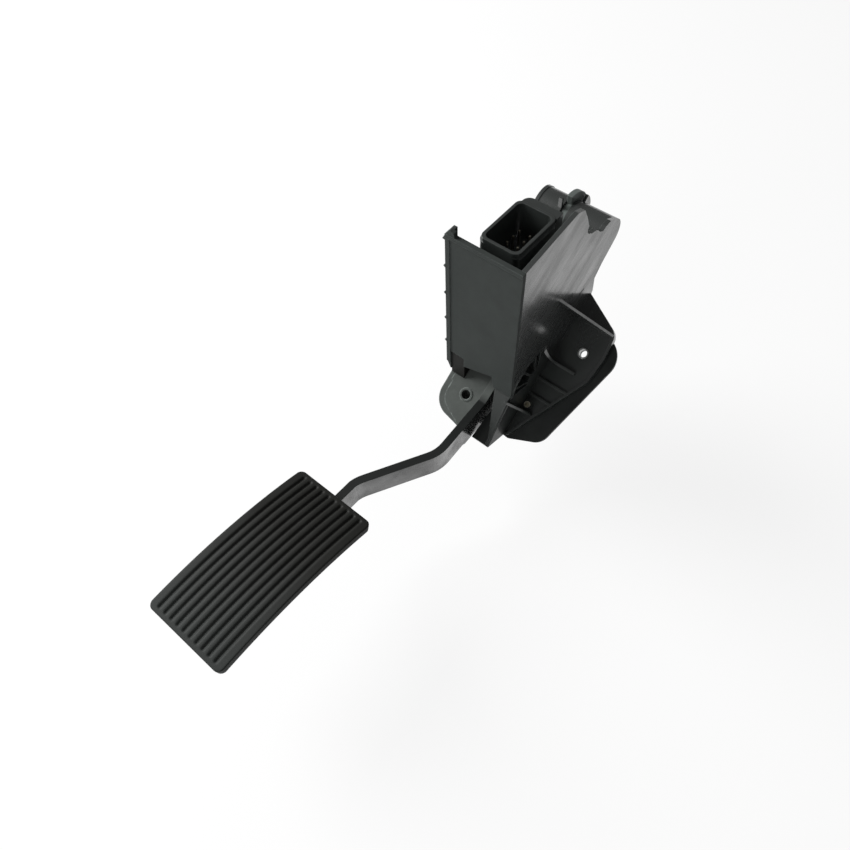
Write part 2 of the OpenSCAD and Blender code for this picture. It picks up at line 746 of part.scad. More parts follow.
// Close-wound coils that fill one half of the barrel
module coils(x0) {
    for (i = [0 : spring_coils - 1]) translate([x0 + (i + 0.5) * spring_wire * 0.98, barrel_y, barrel_z])
        rotate([0, 90, 0]) rotate_extrude() translate([spring_mean, 0]) circle(d = spring_wire, $fn = 20);
}

module left_spring() {
    color("#9b9f9d") coils(slit_left - side_gap - spring_coils * spring_wire);
}

module right_spring() {
    color("#9b9f9d") coils(slit_right + side_gap);
}

// Sensor

plug_at = [1.2, -9];
plug_corner = 3.4;
pin_y = plug_at[1] + 1.2;
ledge = [24.4, 5.4];
ledge_r = 5;
collar = 1.1;
collar_drop = 3;
plug_floor = top_z - plug_depth;
leg_back = 12;
leg_front = wall_front + 4;
body_floor = 74;
cavity_x = leg_x[1] - 1.4;

module rounded(w, l, r) {
    hull() for (x = [-1, 1], y = [-1, 1]) translate([x * (w / 2 - r), y * (l / 2 - r)]) circle(r = r);
}

// Leg of the sensor beside the arm, seen from the side
module leg_outline(grow) {
    hull() {
        translate([leg_front - grow, plug_floor - 20]) square([leg_back - leg_front + 2 * grow, 6 + grow]);
        translate(pivot) circle(r = 11.5 + grow);
    }
}

module sensor_housing() {
    color("#2b2e2d") difference() {
        union() {
            translate([plug_at[0], plug_at[1], plug_floor - 4]) linear_extrude(plug_depth + 4)
                rounded(plug_w + 2 * plug_wall, plug_l + 2 * plug_wall, plug_corner + 0.8);
            translate([plug_at[0], plug_at[1], plug_floor - 4]) linear_extrude(plug_depth + 4 - collar_drop)
                rounded(plug_w + 2 * (plug_wall + collar), plug_l + 2 * plug_wall, plug_corner + 1.2);
            translate([plug_at[0] + plug_w / 2 + plug_wall - ledge[0], plug_at[1] + plug_l / 2 + plug_wall / 2,
                plug_floor - 4]) linear_extrude(plug_depth + 3.6) hull() {
                    square([ledge[0], 1]);
                    translate([ledge_r, ledge[1] + plug_wall / 2 - ledge_r]) circle(r = ledge_r);
                    translate([ledge[0] - 1, 0]) square([1, ledge[1] + plug_wall / 2]);
                }
            translate([leg_x[0], leg_front, body_floor]) cube([plug_at[0] + plug_w / 2 + plug_wall - leg_x[0],
                leg_back - leg_front, plug_floor - body_floor]);
            along_x(leg_x[0], leg_x[1]) leg_outline(0);
        }
        translate([plug_at[0], plug_at[1], plug_floor]) linear_extrude(plug_depth + 1)
            rounded(plug_w, plug_l, plug_corner);
        along_x(leg_x[0] - 1, cavity_x) leg_outline(-1.8);
        rod(leg_x[0], leg_x[1] + 1, shaft_d / 2 + 1);
        for (row = [0, 1], i = [-1, 0, 1]) pin(row, i);
        for (p = screw_places) translate([leg_x[0] - 1, p[0], p[1]]) rotate([0, 90, 0])
            cylinder(h = 6, d = screw_d);
    }
}

screw_d = 2.2;
screw_places = [[leg_front + 3.2, plug_floor - 17.5], [leg_back - 3.2, plug_floor - 17.5]];
cover_x = leg_x[0] - 1.6;

module sensor_cover() {
    color("#232625") difference() {
        along_x(cover_x, leg_x[0]) leg_outline(0);
        rod(cover_x - 1, leg_x[0] + 1, shaft_d / 2 + 2.4);
        for (p = screw_places) translate([cover_x - 1, p[0], p[1]]) rotate([0, 90, 0]) cylinder(h = 4, d = screw_d);
    }
}

module cover_screws() {
    color("#9da19f") for (p = screw_places) translate([cover_x - 1.2, p[0], p[1]]) rotate([0, 90, 0]) {
        cylinder(h = 1.2, d = 4.4);
        cylinder(h = 6.5, d = screw_d);
    }
}

board_x = leg_x[0] + 1.2;

// One terminal: upright in the shroud, then bent towards the circuit board
module pin(row, i) {
    x = plug_at[0] + (row - 0.5) * row_pitch;
    foot = plug_floor - 17.5 - row * 4;
    translate([x - pin_w / 2, pin_y + i * pin_pitch - pin_w / 2, foot])
        cube([pin_w, pin_w, top_z - pin_recess - foot]);
    translate([board_x + board_t, pin_y + i * pin_pitch - pin_w / 2, foot])
        cube([x + pin_w / 2 - board_x - board_t, pin_w, pin_w]);
}

module terminal_pins() {
    color("#c2b48a") for (row = [0, 1], i = [-1, 0, 1]) pin(row, i);
}

module circuit_board() {
    color("#27583a") difference() {
        along_x(board_x, board_x + board_t) leg_outline(-2.2);
        rod(board_x - 1, board_x + board_t + 1, shaft_d / 2 + 2.4);
        for (p = screw_places) translate([board_x - 1, p[0] - 4, p[1] - screw_d]) cube([board_t + 2, 8, 10]);
    }
}

chip_r = 8.6;

module hall_chips() {
    color("#121413") for (a = [60, 150]) translate([board_x + board_t, pivot[0], pivot[1]]) rotate([a, 0, 0])
        translate([0, chip_r - 1.6, -1.5]) cube([0.9, 3.2, 3]);
}

magnet_x = board_x + board_t + 1.4;

module rotor() {
    color("#3a3d3b") difference() {
        rod(magnet_x, cavity_x - 0.6, 9.2);
        rod(magnet_x - 1, cavity_x, shaft_d / 2);
        rod(magnet_x - 1, magnet_x + 1.2, 8.4);
    }
}

module rotor_magnet() {
    color("#55585a") difference() {
        rod(magnet_x, magnet_x + 1.2, 8.4);
        rod(magnet_x - 1, magnet_x + 2, shaft_d / 2 + 0.6);
    }
}

housing();
front_cover();
mounting_plate();
mounting_sleeves();
locating_insert();
left_bush();
right_bush();
pivot_shaft();
arm_bar();
arm_casting();
arm_rivets();
pad_plate();
pad_rubber();
idle_stop();
full_stop();
return_lever();
lever_roller();
roller_pin();
spring_spindle();
left_spring();
right_spring();
sensor_housing();
sensor_cover();
cover_screws();
terminal_pins();
circuit_board();
hall_chips();
rotor();
rotor_magnet();
shaft_clip();
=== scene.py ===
# Suspended accelerator pedal of a car. The housing and its front cover are near-black glass-filled nylon,
# moulded with a fine flow grain and bolted to a coated steel plate. A coated steel bar, riveted to a grey
# cast piece on the pivot, carries a ribbed black rubber pad bonded to a curved steel plate.
import math

import bmesh
import bpy
from mathutils import Matrix, Vector


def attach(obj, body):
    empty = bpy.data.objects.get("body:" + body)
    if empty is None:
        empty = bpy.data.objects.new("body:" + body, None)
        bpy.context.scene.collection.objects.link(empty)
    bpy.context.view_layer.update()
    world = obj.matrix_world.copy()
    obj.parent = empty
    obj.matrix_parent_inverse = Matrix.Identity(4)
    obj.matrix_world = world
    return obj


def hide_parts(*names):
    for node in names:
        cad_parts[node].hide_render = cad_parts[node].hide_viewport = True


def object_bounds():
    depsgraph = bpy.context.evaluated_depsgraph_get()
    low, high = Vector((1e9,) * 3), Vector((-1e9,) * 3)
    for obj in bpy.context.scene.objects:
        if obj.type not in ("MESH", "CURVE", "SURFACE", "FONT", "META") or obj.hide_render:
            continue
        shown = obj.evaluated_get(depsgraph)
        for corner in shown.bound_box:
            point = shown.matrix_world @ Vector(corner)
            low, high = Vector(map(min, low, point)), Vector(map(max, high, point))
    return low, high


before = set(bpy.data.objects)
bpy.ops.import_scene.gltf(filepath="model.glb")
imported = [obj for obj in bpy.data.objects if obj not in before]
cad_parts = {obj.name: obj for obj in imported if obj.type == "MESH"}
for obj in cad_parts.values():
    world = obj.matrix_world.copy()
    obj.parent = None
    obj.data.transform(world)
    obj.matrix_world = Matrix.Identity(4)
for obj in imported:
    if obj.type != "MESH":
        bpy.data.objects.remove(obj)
cad_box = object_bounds()


# Camera: it stands to the front right of the pedal and well above it. Its place, aim and focal length were
# solved from straight edges of the housing, in an image of 850 by 850 pixels.
IMAGE_SIDE = 850
FOCAL_PIXELS = 722
SENSOR = 36
NEAR_CLIP = 0.01
CAMERA_PLACE = (0.16576, -0.27037, 0.40644)
AZIMUTH, ELEVATION, ROLL = (math.radians(angle) for angle in (43.1, 57.1, -3.8))

back = Vector((math.sin(AZIMUTH) * math.cos(ELEVATION), -math.cos(AZIMUTH) * math.cos(ELEVATION),
               math.sin(ELEVATION)))
level_right = Vector((math.cos(AZIMUTH), math.sin(AZIMUTH), 0))
level_up = back.cross(level_right)
right = level_right * math.cos(ROLL) + level_up * math.sin(ROLL)
up = level_up * math.cos(ROLL) - level_right * math.sin(ROLL)

camera_data = bpy.data.cameras.new("camera")
camera_data.sensor_width = SENSOR
camera_data.lens = SENSOR * FOCAL_PIXELS / IMAGE_SIDE
camera_data.clip_start = NEAR_CLIP
camera = bpy.data.objects.new("camera", camera_data)
camera.matrix_world = Matrix.Translation(CAMERA_PLACE) @ Matrix((right, up, back)).transposed().to_4x4()
bpy.context.collection.objects.link(camera)
bpy.context.scene.camera = camera


# Floor: a plain white table top, which glows white to the camera and to reflections and keeps the shadows.
# The part hangs from its mounting face, so the floor lies low enough for the pad to swing above it.
SWING_ROOM = 0.042
FLOOR_REACH = 20.0
WHITE = (1.0, 1.0, 1.0, 1.0)
TABLE_WHITE = (0.96, 0.96, 0.96, 1.0)
GLOW_SHARE = 0.84


def put(tree, place, value):
    """Links or sets a socket."""
    if isinstance(value, Wire):
        tree.links.new(value.socket, place)
    else:
        place.default_value = value


class Wire:
    """A node's output, which takes part in sums like a number."""

    def __init__(self, tree, socket):
        self.tree = tree
        self.socket = socket

    def maths(self, operation, first, second):
        node = self.tree.nodes.new("ShaderNodeMath")
        node.operation = operation
        put(self.tree, node.inputs[0], first)
        put(self.tree, node.inputs[1], second)
        return Wire(self.tree, node.outputs[0])

    def __add__(self, other):
        return self.maths("ADD", self, other)

    def __radd__(self, other):
        return self.maths("ADD", other, self)

    def __sub__(self, other):
        return self.maths("SUBTRACT", self, other)

    def __rsub__(self, other):
        return self.maths("SUBTRACT", other, self)

    def __mul__(self, other):
        return self.maths("MULTIPLY", self, other)

    def __rmul__(self, other):
        return self.maths("MULTIPLY", other, self)

    def __truediv__(self, other):
        return self.maths("DIVIDE", self, other)

    def __rtruediv__(self, other):
        return self.maths("DIVIDE", other, self)

    def most(self, other):
        return self.maths("MAXIMUM", self, other)

    def least(self, other):
        return self.maths("MINIMUM", self, other)

    def clamped(self):
        return self.most(0.0).least(1.0)


class Finish:
    """A material with one Principled shader, whose fixed inputs are given by name."""

    BEVEL_RAYS = 6
    EDGE_CONTRAST = 6.0

    def __init__(self, name, **fixed):
        self.material = bpy.data.materials.new(name)
        self.material.use_nodes = True
        self.tree = self.material.node_tree
        self.shader = self.tree.nodes["Principled BSDF"]
        for place, value in fixed.items():
            self.shader.inputs[place.replace("_", " ")].default_value = value

    def node(self, kind, settings=None, output=0, **places):
        """Adds a node: its settings first, then its sockets by name (spaces as _) or by place (_0, _1)."""
        node = self.tree.nodes.new("ShaderNode" + kind)
        for name, value in (settings or {}).items():
            setattr(node, name, value)
        for name, value in places.items():
            key = int(name[1:]) if name[0] == "_" else name.replace("_", " ")
            put(self.tree, node.inputs[key], value)
        return Wire(self.tree, node.outputs[output])

    def place(self, scale=(1, 1, 1), turn=(0, 0, 0)):
        """Place on the piece in metres, turned and then scaled."""
        at = self.node("TexCoord", output="Object")
        turned = self.node("VectorRotate", {"rotation_type": "EULER_XYZ"}, Vector=at, Rotation=turn)
        return self.node("VectorMath", {"operation": "MULTIPLY"}, _0=turned, _1=scale)

    def part(self, axis, vector):
        """One of a vector's three parts, X, Y or Z."""
        return self.node("SeparateXYZ", output=axis, Vector=vector)

    def noise(self, at, scale, detail=3.0, rough=0.55):
        return self.node("TexNoise", Vector=at, Scale=scale, Detail=detail, Roughness=rough)

    def ramp(self, value, low, high):
        """Runs from 0 at low to 1 at high."""
        return ((value - low) / (high - low)).clamped()

    def blend(self, share, first, second):
        """Colour between two colours."""
        return self.node("Mix", {"data_type": "RGBA"}, output=2, _0=share, _6=first, _7=second)

    def bump(self, height, distance, strength=1.0, **base):
        """Normal of a relief, on the flat surface or on the Normal that base names."""
        return self.node("Bump", Height=height, Distance=distance, Strength=strength, **base)

    def soft_edge(self, radius):
        """Normal rounded over the piece's sharp edges."""
        return self.node("Bevel", {"samples": self.BEVEL_RAYS}, Radius=radius)

    def edge(self, normal):
        """1 where the rounded normal leaves the flat one, 0 elsewhere."""
        flat = self.node("NewGeometry", output="Normal")
        same = self.node("VectorMath", {"operation": "DOT_PRODUCT"}, output=1, _0=flat, _1=normal)
        return ((1.0 - same) * self.EDGE_CONTRAST).clamped()

    def feed(self, **places):
        """Gives the shader's inputs their varying values."""
        for name, value in places.items():
            put(self.tree, self.shader.inputs[name.replace("_", " ")], value)
        return self.material


floor_z = cad_box[0][2] - SWING_ROOM
floor_sides = ((-1, -1), (1, -1), (1, 1), (-1, 1))
floor_corners = [(FLOOR_REACH * x, FLOOR_REACH * y, floor_z) for x, y in floor_sides]
floor_mesh = bpy.data.meshes.new("floor")
floor_mesh.from_pydata(floor_corners, [], [(0, 1, 2, 3)])
floor = bpy.data.objects.new("floor", floor_mesh)
bpy.context.collection.objects.link(floor)

table = Finish("white_table", Base_Color=TABLE_WHITE, Roughness=1.0, Specular_IOR_Level=0.0)
seen = table.node("LightPath", output="Is Camera Ray").most(table.node("LightPath", output="Is Glossy Ray"))
glow = table.node("Emission", Color=WHITE, Strength=1.0)
matt = Wire(table.tree, table.shader.outputs[0])
surface = table.node("MixShader", _0=seen * GLOW_SHARE, _1=matt, _2=glow)
put(table.tree, table.tree.nodes["Material Output"].inputs["Surface"], surface)
floor_mesh.materials.append(table.material)


# Studio light: an even white room, a broad soft lamp on the left that grazes the part, and a small weak one
# low in front of the cover.
ROOM_LIGHT = 0.16
LIT_PLACE = (0.0, -0.08, 0.05)

world = bpy.data.worlds.new("studio")
world.use_nodes = True
room = world.node_tree.nodes["Background"]
room.inputs["Color"].default_value = WHITE
room.inputs["Strength"].default_value = ROOM_LIGHT
bpy.context.scene.world = world


def soft_lamp(name, place, width, power):
    """Round lamp of a width in metres and a power in watts, aimed at the middle of the part."""
    lamp = bpy.data.lights.new(name, "AREA")
    lamp.shape = "DISK"
    lamp.size = width
    lamp.energy = power
    holder = bpy.data.objects.new(name, lamp)
    holder.location = place
    aim = Vector(LIT_PLACE) - Vector(place)
    holder.rotation_euler = aim.to_track_quat("-Z", "Y").to_euler()
    bpy.context.collection.objects.link(holder)


soft_lamp("lamp_left", place=(-1.25, -0.3, 0.9), width=1.0, power=35.0)
soft_lamp("lamp_front", place=(0.0, -1.2, 0.45), width=0.6, power=3.5)


# Housing: one moulding of near-black glass-filled nylon, which carries the rest. Its semi-gloss skin shows
# long flow marks along the mounting face, and is duller at the foot. Its edges are rubbed lighter.
MOUNT_TILT = math.radians(35)
FLOW_STRETCH = (1.0, 0.16, 1.0)
FLOW_SCALE, CLOUD_SCALE, GRAIN_SCALE, RUB_SCALE = 150.0, 38.0, 2600.0, 210.0
NYLON_EDGE = 0.0007
NYLON_SHEEN = 0.15
COAT_IOR, COAT_GLOSS = 2.2, 0.16
STREAK_DULLING = 0.45
FOOT_SHINE, FOOT_HEIGHT = 0.25, 0.035


def grey(level, warm=0.0):
    """Near-neutral colour, a little green as the moulded pieces are."""
    return (level * (0.88 + warm), level, level * (0.95 - warm), 1.0)


def dress(material, *nodes):
    """Gives nodes of the frame a material."""
    for name in nodes:
        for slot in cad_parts[name].material_slots:
            slot.material = material


def moulded(name, level, gloss, coat, grain=0.00004, streak=0.0):
    """Moulded nylon: a broken dark colour, a fine grain, lighter rubbed edges and, if asked, streaks."""
    skin = Finish(name, Coat_IOR=COAT_IOR, Coat_Roughness=COAT_GLOSS, Specular_IOR_Level=NYLON_SHEEN)
    along_flow = skin.place(scale=FLOW_STRETCH, turn=(-MOUNT_TILT, 0, 0))
    flow = skin.noise(along_flow, FLOW_SCALE, detail=4.0, rough=0.6)
    cloud = skin.noise(skin.place(), CLOUD_SCALE, rough=0.6)
    fine = skin.noise(skin.place(), GRAIN_SCALE, detail=2.0, rough=0.6)
    rounded = skin.soft_edge(NYLON_EDGE)
    rubbed = skin.edge(rounded) * skin.ramp(skin.noise(skin.place(), RUB_SCALE), 0.35, 0.7)
    tone = skin.ramp(cloud * 0.6 + flow * 0.4, 0.3, 0.7)
    body = skin.blend(tone, grey(level * 0.82), grey(level * 1.18))
    worn = skin.blend(rubbed * 0.75, body, grey(level * 2.6 + 0.035))
    patch = skin.ramp(flow * 0.65 + cloud * 0.35, 0.36, 0.66)
    shine = coat
    if streak:
        foot = skin.ramp(skin.part("Z", skin.place()), 0.0, FOOT_HEIGHT)
        shine = (coat - streak * patch * STREAK_DULLING) * (FOOT_SHINE + (1 - FOOT_SHINE) * foot)
    return skin.feed(Base_Color=worn, Roughness=gloss + 0.1 * fine + patch * 0.08, Coat_Weight=shine,
                     Normal=skin.bump(fine * 0.7 + flow * (0.6 * streak), grain, 0.8, Normal=rounded))


dress(moulded("housing_nylon", level=0.03, gloss=0.45, coat=1.0, streak=1.0), "housing")


# Front cover: a flat plate of the same nylon, moulded with a duller and finer surface. It closes the front
# of the housing and hangs on it by a hook.
dress(moulded("cover_nylon", level=0.043, gloss=0.62, coat=0.0, grain=0.00003), "front_cover")


# Mounting plate: flat steel under the flange, held by the bolts that go through both. It has a thin dull
# black coat, rubbed through in places at its rim.
STEEL_EDGE = 0.0006
STEEL_SHEEN = 0.15
PAINT_IOR, PAINT_GLOSS = 2.1, 0.18
PAINT_SCALE, WAVE_SCALE, CHIP_SCALE = 900.0, 42.0, 260.0
BARE_STEEL = grey(0.32)
# A lighter grey, painted on the bar's upward faces as a highlight.
TOP_LIGHT_GREY = grey(0.085, 0.02)


def coated_steel(name, level, gloss, coat, chips, relief=0.00005, cut_gloss=1.0, lit_top=None):
    """Coated steel. Cut edges keep cut_gloss of the shine; the last argument is where along Y the upward
    faces get a painted highlight in grey.
    """
    paint = Finish(name, Coat_IOR=PAINT_IOR, Coat_Roughness=PAINT_GLOSS, Specular_IOR_Level=STEEL_SHEEN)
    rounded = paint.soft_edge(STEEL_EDGE)
    fine = paint.noise(paint.place(), PAINT_SCALE, rough=0.6)
    broad = paint.noise(paint.place(), WAVE_SCALE, rough=0.6)
    wave = paint.ramp(broad, 0.35, 0.65)
    chipped = paint.edge(rounded) * paint.noise(paint.place(), CHIP_SCALE, detail=4.0, rough=0.7)
    bare = paint.ramp(chipped, 0.5 - 0.3 * chips, 0.62) * chips
    colour = paint.blend(bare, paint.blend(wave, grey(level * 0.85), grey(level * 1.15)), BARE_STEEL)
    facing = paint.node("NewGeometry", output="Normal")
    rolled = paint.part("X", facing)
    shine = cut_gloss + (1 - cut_gloss) * rolled * rolled
    if lit_top:
        # Painted highlight: faces turned upwards go lighter grey within the given span along Y.
        upward = paint.ramp(paint.part("Z", facing), 0.3, 0.6)
        lit_length = paint.ramp(paint.part("Y", paint.place()), *lit_top)
        colour = paint.blend(lit_length * upward, colour, TOP_LIGHT_GREY)
    return paint.feed(Base_Color=colour, Metallic=bare, Roughness=gloss + 0.12 * fine,
                      Coat_Weight=coat * shine * (0.6 + 0.8 * wave),
                      Normal=paint.bump(fine + broad * 2.0, relief, 0.6, Normal=rounded))


dress(coated_steel("plate_coat", level=0.021, gloss=0.55, coat=0.1, chips=0.15), "mounting_plate")


# Mounting sleeves and locating insert: turned steel and brass with fine turning marks, pressed into the
# flange. The sleeves take the load of the bolts, and the insert that of a locating pin.
METAL_EDGE = 0.0003
TURNING_MARKS = (1.0, 1.0, 6.0)
TURNING_SCALE, TARNISH_SCALE = 900.0, 300.0
TURNING_DEPTH = 0.00001


def bright_metal(name, colour, gloss, clean=1.0):
    """Bare metal, brushed round its axis and a little tarnished."""
    metal = Finish(name, Metallic=clean)
    rounded = metal.soft_edge(METAL_EDGE)
    brushed = metal.noise(metal.place(scale=TURNING_MARKS), TURNING_SCALE, detail=4.0, rough=0.7)
    dull = metal.noise(metal.place(), TARNISH_SCALE, rough=0.6)
    tarnished = tuple(0.8 * part for part in colour) + (1.0,)
    tint = metal.blend(metal.ramp(dull, 0.3, 0.7), tarnished, colour + (1.0,))
    return metal.feed(Base_Color=tint, Roughness=gloss + 0.18 * dull,
                      Normal=metal.bump(brushed, TURNING_DEPTH, 0.7, Normal=rounded))


zinc = bright_metal("bright_zinc", (0.42, 0.43, 0.42), gloss=0.3)
dress(zinc, "mounting_sleeves")
dress(bright_metal("turned_brass", (0.85, 0.8, 0.64), gloss=0.4, clean=0.9), "locating_insert")


# Pivot: a ground steel shaft in two bushes of pale bearing plastic, pressed into the housing's walls. A
# clip keeps it in place.
ground_steel = bright_metal("ground_steel", (0.5, 0.51, 0.5), gloss=0.2)
dress(moulded("bearing_plastic", level=0.2, gloss=0.45, coat=0.0), "left_bush", "right_bush")
dress(ground_steel, "pivot_shaft", "shaft_clip")


# Arm bar: a bent steel bar on edge with a black coat, duller on its cut edges than on its rolled faces.
# Beside the casting, which is riveted to it, its upward faces get a painted highlight in lighter grey.
BAR_LIT_TOP = (-0.044, -0.038)
BAR_RELIEF = 0.00002

dress(coated_steel("bar_coat", level=0.011, gloss=0.45, coat=0.85, chips=0.3, relief=BAR_RELIEF,
                   cut_gloss=0.08, lit_top=BAR_LIT_TOP), "arm_bar")


# Arm casting: a matt grey casting that turns with the shaft, with a granular skin and edges rubbed lighter.
# Two steel rivets hold it to the bar.
CAST_EDGE = 0.0012
CAST_SHEEN = 0.2
CAST_SCALE, CAST_WAVE_SCALE, CAST_RUB_SCALE = 1500.0, 70.0, 320.0
CAST_DEPTH = 0.00008


def cast_grey():
    cast = Finish("cast_grey", Specular_IOR_Level=CAST_SHEEN)
    rounded = cast.soft_edge(CAST_EDGE)
    grains = cast.noise(cast.place(), CAST_SCALE, rough=0.65)
    broad = cast.noise(cast.place(), CAST_WAVE_SCALE, detail=4.0, rough=0.6)
    body = cast.blend(cast.ramp(broad, 0.3, 0.7), grey(0.056, 0.02), grey(0.085, 0.02))
    rubbed = cast.edge(rounded) * cast.ramp(cast.noise(cast.place(), CAST_RUB_SCALE), 0.35, 0.65)
    return cast.feed(Base_Color=cast.blend(rubbed * 0.85, body, grey(0.28)), Roughness=0.6 + 0.15 * grains,
                     Normal=cast.bump(grains + broad, CAST_DEPTH, 0.7, Normal=rounded))


dress(cast_grey(), "arm_casting")
dress(ground_steel, "arm_rivets")


# Pad plate: curved steel fixed to the end of the bar, with the same black coat. The rubber hides all but
# its underside.
dress(coated_steel("pad_plate_coat", level=0.02, gloss=0.5, coat=0.3, chips=0.2), "pad_plate")


# Pad: black rubber bonded to the plate, moulded with ten long ribs and a rounded rim. It is dull, with dust
# in its grain, and painted lighter grey towards the front as a sheen. Its sizes are in millimetres.
PAD_ORIGIN = (-16.4, -158.65, 16.0)
PAD_PITCH = math.radians(-5.3)
PAD_WIDTH, PAD_LENGTH, PAD_CROWN, PAD_THICK = 59.2, 118.2, 5.9, 5.0
PAD_CORNER, PAD_BORDER, PAD_END, PAD_ROUND = 4.0, 3.8, 2.5, 0.8
PAD_CREASE = math.radians(50)
RIBS, GROOVE_DEPTH, GROOVE_FADE, GROOVE_SHARPNESS = 10, 1.15, 1.6, 2.8
PAD_RADIUS = (PAD_LENGTH ** 2 / 4 + PAD_CROWN ** 2) / (2 * PAD_CROWN)
RIB_PITCH = (PAD_WIDTH - 2 * PAD_BORDER) / RIBS
RIM_STEPS = (0.0, 0.06, 0.18, 0.36, 0.58, 0.8, 1.6, 2.6)
RIB_STEPS = (-0.5, -0.36, -0.27, -0.2, -0.14, -0.08, 0.0, 0.08, 0.14, 0.2, 0.27, 0.36)
END_STEPS = (*RIM_STEPS, 2.9, 3.3, 3.8, 4.5, 5.5)
MIDDLE_STEPS = 44
RUBBER_EDGE = 0.0006
RUBBER_SHEEN = 0.2
RUBBER_SCALE, RUBBER_WAVE_SCALE, DUST_SCALE = 1900.0, 60.0, 700.0
RUBBER_DEPTH = 0.00007
SHEEN_START, SHEEN_END = 0.2, 0.275


def rubber(name, level, painted_sheen=0.0):
    """Black rubber. The last argument is the share of a painted sheen, a lighter grey at the front of the
    pad.
    """
    skin = Finish(name, Specular_IOR_Level=RUBBER_SHEEN)
    rounded = skin.soft_edge(RUBBER_EDGE)
    grain = skin.noise(skin.place(), RUBBER_SCALE, rough=0.7)
    broad = skin.noise(skin.place(), RUBBER_WAVE_SCALE, detail=4.0, rough=0.6)
    dust = skin.ramp(skin.noise(skin.place(), DUST_SCALE, detail=5.0, rough=0.8), 0.62, 0.8)
    body = skin.blend(skin.ramp(broad, 0.3, 0.7), grey(level * 0.8, 0.12), grey(level * 1.2, 0.08))
    # Painted sheen: the pad's colour goes lighter grey towards its front, where light catches it.
    front = skin.ramp(0.0 - skin.part("Y", skin.place()), SHEEN_START, SHEEN_END)
    sheened_body = skin.blend(front * painted_sheen, body, grey(level * 3.2))
    colour = skin.blend(dust * 0.12 + skin.edge(rounded) * 0.05, sheened_body, grey(0.16))
    return skin.feed(Base_Color=colour, Roughness=0.5 + 0.2 * grain,
                     Normal=skin.bump(grain + broad, RUBBER_DEPTH, 0.8, Normal=rounded))


def pad_point(across, along, depth):
    """Place in metres of a point of the pad: along from its back end, depth square under its round face."""
    swing = (along - PAD_LENGTH / 2) / PAD_RADIUS
    local = Vector((across, -PAD_LENGTH / 2 - (PAD_RADIUS - depth) * math.sin(swing),
                    PAD_CROWN - PAD_RADIUS + (PAD_RADIUS - depth) * math.cos(swing)))
    return (Matrix.Rotation(PAD_PITCH, 3, "X") @ local + Vector(PAD_ORIGIN)) / 1000


def rim_distance(across, along):
    """How far a point of the pad's face lies inside its outline."""
    side = abs(across) - PAD_WIDTH / 2 + PAD_CORNER
    end = abs(along - PAD_LENGTH / 2) - PAD_LENGTH / 2 + PAD_CORNER
    return PAD_CORNER - math.hypot(max(side, 0), max(end, 0)) - min(max(side, end), 0)


def pad_drop(across, along, from_groove):
    """Depth of the face at a point: the round rim, and the nearest groove, which fades at its ends."""
    inside = max(rim_distance(across, along), 0)
    rim = PAD_ROUND - math.sqrt(PAD_ROUND ** 2 - max(PAD_ROUND - inside, 0) ** 2)
    if from_groove is None:
        return rim
    from_end = min(along, PAD_LENGTH - along)
    fade = min(max((from_end - PAD_END) / GROOVE_FADE, 0), 1)
    groove = (0.5 + 0.5 * math.cos(2 * math.pi * from_groove)) ** GROOVE_SHARPNESS
    return rim + GROOVE_DEPTH * groove * fade * fade * (3 - 2 * fade)


def across_of(column, along):
    """How far from the middle a column of points lies: rim columns follow the round corners."""
    kind, where, step = column
    from_end = min(along, PAD_LENGTH - along, PAD_CORNER)
    half = PAD_WIDTH / 2 - PAD_CORNER + math.sqrt(PAD_CORNER ** 2 - (PAD_CORNER - from_end) ** 2)
    if kind == "rim":
        return where * (half - step)
    return where * ((half - PAD_BORDER) / (PAD_WIDTH / 2 - PAD_BORDER))


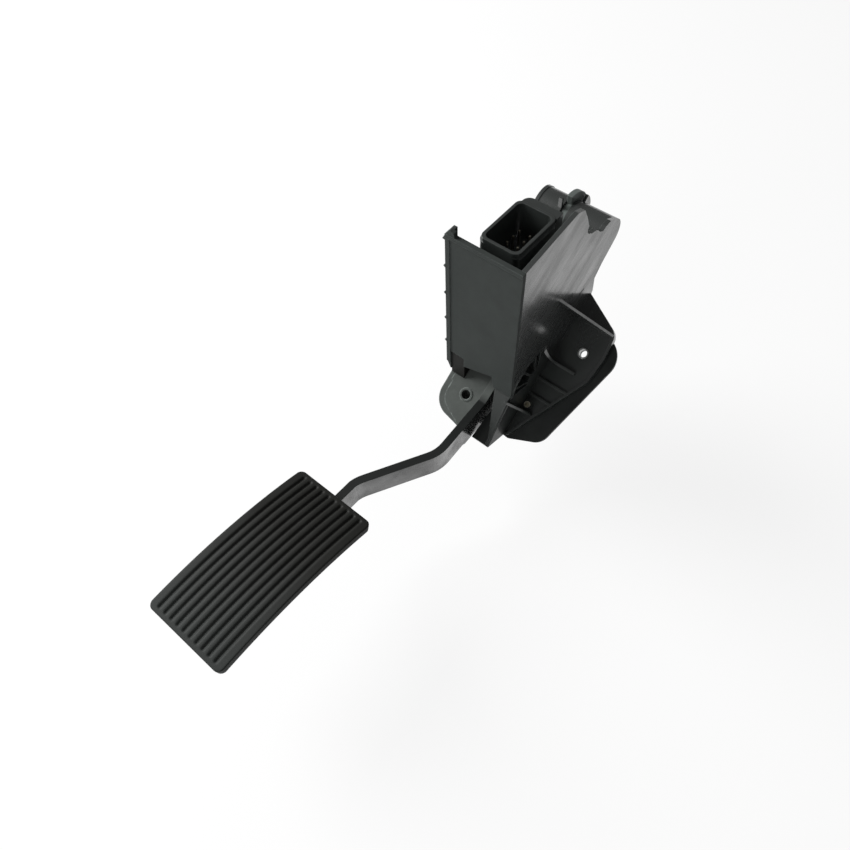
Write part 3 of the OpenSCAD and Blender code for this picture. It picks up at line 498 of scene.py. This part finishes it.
def ribbed_pad():
    """The rubber as one closed mesh: ribbed face, rounded rim, straight sides and plain underside."""
    columns = [("rim", -1, step) for step in RIM_STEPS]
    for rib in range(RIBS):
        columns += [("rib", (rib - (RIBS - 1) / 2 + step) * RIB_PITCH, step) for step in RIB_STEPS]
    columns += [("rib", RIBS / 2 * RIB_PITCH, 0.5)] + [("rim", 1, step) for step in reversed(RIM_STEPS)]
    end_length = END_STEPS[-1]
    middle_length = PAD_LENGTH - 2 * end_length
    middle = [end_length + middle_length * i / MIDDLE_STEPS for i in range(1, MIDDLE_STEPS)]
    rows = [*END_STEPS, *middle, *(PAD_LENGTH - step for step in reversed(END_STEPS))]

    points = []
    for along in rows:
        for column in columns:
            across = across_of(column, along)
            from_groove = column[2] if column[0] == "rib" else None
            points.append(pad_point(across, along, pad_drop(across, along, from_groove)))
    wide, deep = len(columns), len(rows)
    faces = [(row * wide + i, row * wide + i + 1, (row + 1) * wide + i + 1, (row + 1) * wide + i)
             for row in range(deep - 1) for i in range(wide - 1)]

    outline = [*range(wide),
               *(row * wide + wide - 1 for row in range(1, deep)),
               *(deep * wide - 1 - i for i in range(1, wide)),
               *(row * wide for row in range(deep - 2, 0, -1))]
    under = {}
    for top in outline:
        along = rows[top // wide]
        under[top] = len(points)
        points.append(pad_point(across_of(columns[top % wide], along), along, PAD_THICK))
    for top, following in zip(outline, outline[1:] + outline[:1]):
        faces.append((top, under[top], under[following], following))

    first = [under[i] for i in range(wide)]
    last = [under[(deep - 1) * wide + i] for i in range(wide)]
    left = [under[row * wide] for row in range(deep)]
    right_side = [under[row * wide + wide - 1] for row in range(deep)]
    faces.append((*first, right_side[1], left[1]))
    for row in range(1, deep - 2):
        faces.append((left[row], right_side[row], right_side[row + 1], left[row + 1]))
    faces.append((left[deep - 2], right_side[deep - 2], *reversed(last)))

    mesh = bpy.data.meshes.new("ribbed_pad")
    mesh.from_pydata(points, [], faces)
    shell = bmesh.new()
    shell.from_mesh(mesh)
    bmesh.ops.recalc_face_normals(shell, faces=shell.faces)
    shell.to_mesh(mesh)
    shell.free()
    mesh.polygons.foreach_set("use_smooth", [True] * len(mesh.polygons))
    mesh.set_sharp_from_angle(angle=PAD_CREASE)
    mesh.materials.append(rubber("pad_rubber_black", level=0.0105, painted_sheen=0.8))
    piece = bpy.data.objects.new("ribbed_pad", mesh)
    bpy.context.collection.objects.link(piece)
    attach(piece, "pedal")
    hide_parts("pad_rubber")


ribbed_pad()


# Stops: two small pieces of the same rubber in the housing, which the arm meets at rest and at full travel.
# They take no painted sheen, so they stay black.
dress(rubber("stop_rubber", level=0.008), "idle_stop", "full_stop")


# Return lever: grey nylon that turns in the slit of the barrel. It has a black roller on a steel pin, and
# the casting's tail lifts that roller.
dress(moulded("lever_nylon", level=0.15, gloss=0.5, coat=0.1), "return_lever")
dress(moulded("roller_plastic", level=0.02, gloss=0.35, coat=0.3), "lever_roller")
dress(ground_steel, "roller_pin")


# Return springs: two coils of spring wire side by side on a steel spindle, inside the barrel. The lever
# turns on the same spindle, between them.
dress(bright_metal("spring_wire", (0.42, 0.42, 0.41), gloss=0.3), "left_spring", "right_spring")
dress(ground_steel, "spring_spindle")


# Sensor: a black nylon housing with a socket, in which six tinned terminals stand. A cover with two
# zinc-plated screws closes it.
dress(moulded("sensor_nylon", level=0.03, gloss=0.45, coat=0.6), "sensor_housing")
dress(moulded("sensor_cover_nylon", level=0.018, gloss=0.45, coat=0.2), "sensor_cover")
dress(bright_metal("tinned_pins", (0.3, 0.28, 0.23), gloss=0.3), "terminal_pins")
dress(zinc, "cover_screws")


# Circuit board: glass fibre under green solder mask, with two field sensors in black epoxy soldered to it.
# It lies behind the sensor's cover.
MASK_SCALE = 1200.0
MASK_DEPTH = 0.00002
MASK_DARK, MASK_LIGHT = (0.012, 0.07, 0.026, 1.0), (0.02, 0.1, 0.04, 1.0)


def solder_mask():
    mask = Finish("solder_mask", Coat_Weight=0.5)
    weave = mask.noise(mask.place(), MASK_SCALE, detail=2.0, rough=0.5)
    return mask.feed(Base_Color=mask.blend(mask.ramp(weave, 0.3, 0.7), MASK_DARK, MASK_LIGHT),
                     Roughness=0.35 + 0.1 * weave, Normal=mask.bump(weave, MASK_DEPTH))


dress(solder_mask(), "circuit_board")
dress(moulded("chip_epoxy", level=0.01, gloss=0.5, coat=0.0), "hall_chips")


# Rotor: a plastic cup on the end of the shaft that holds a ring of ferrite magnet. It turns in front of the
# field sensors.
dress(moulded("rotor_plastic", level=0.05, gloss=0.45, coat=0.1), "rotor")
dress(moulded("magnet_ferrite", level=0.06, gloss=0.6, coat=0.0), "rotor_magnet")


# Colours are shown as the materials give them.
bpy.context.scene.view_settings.view_transform = "Standard"
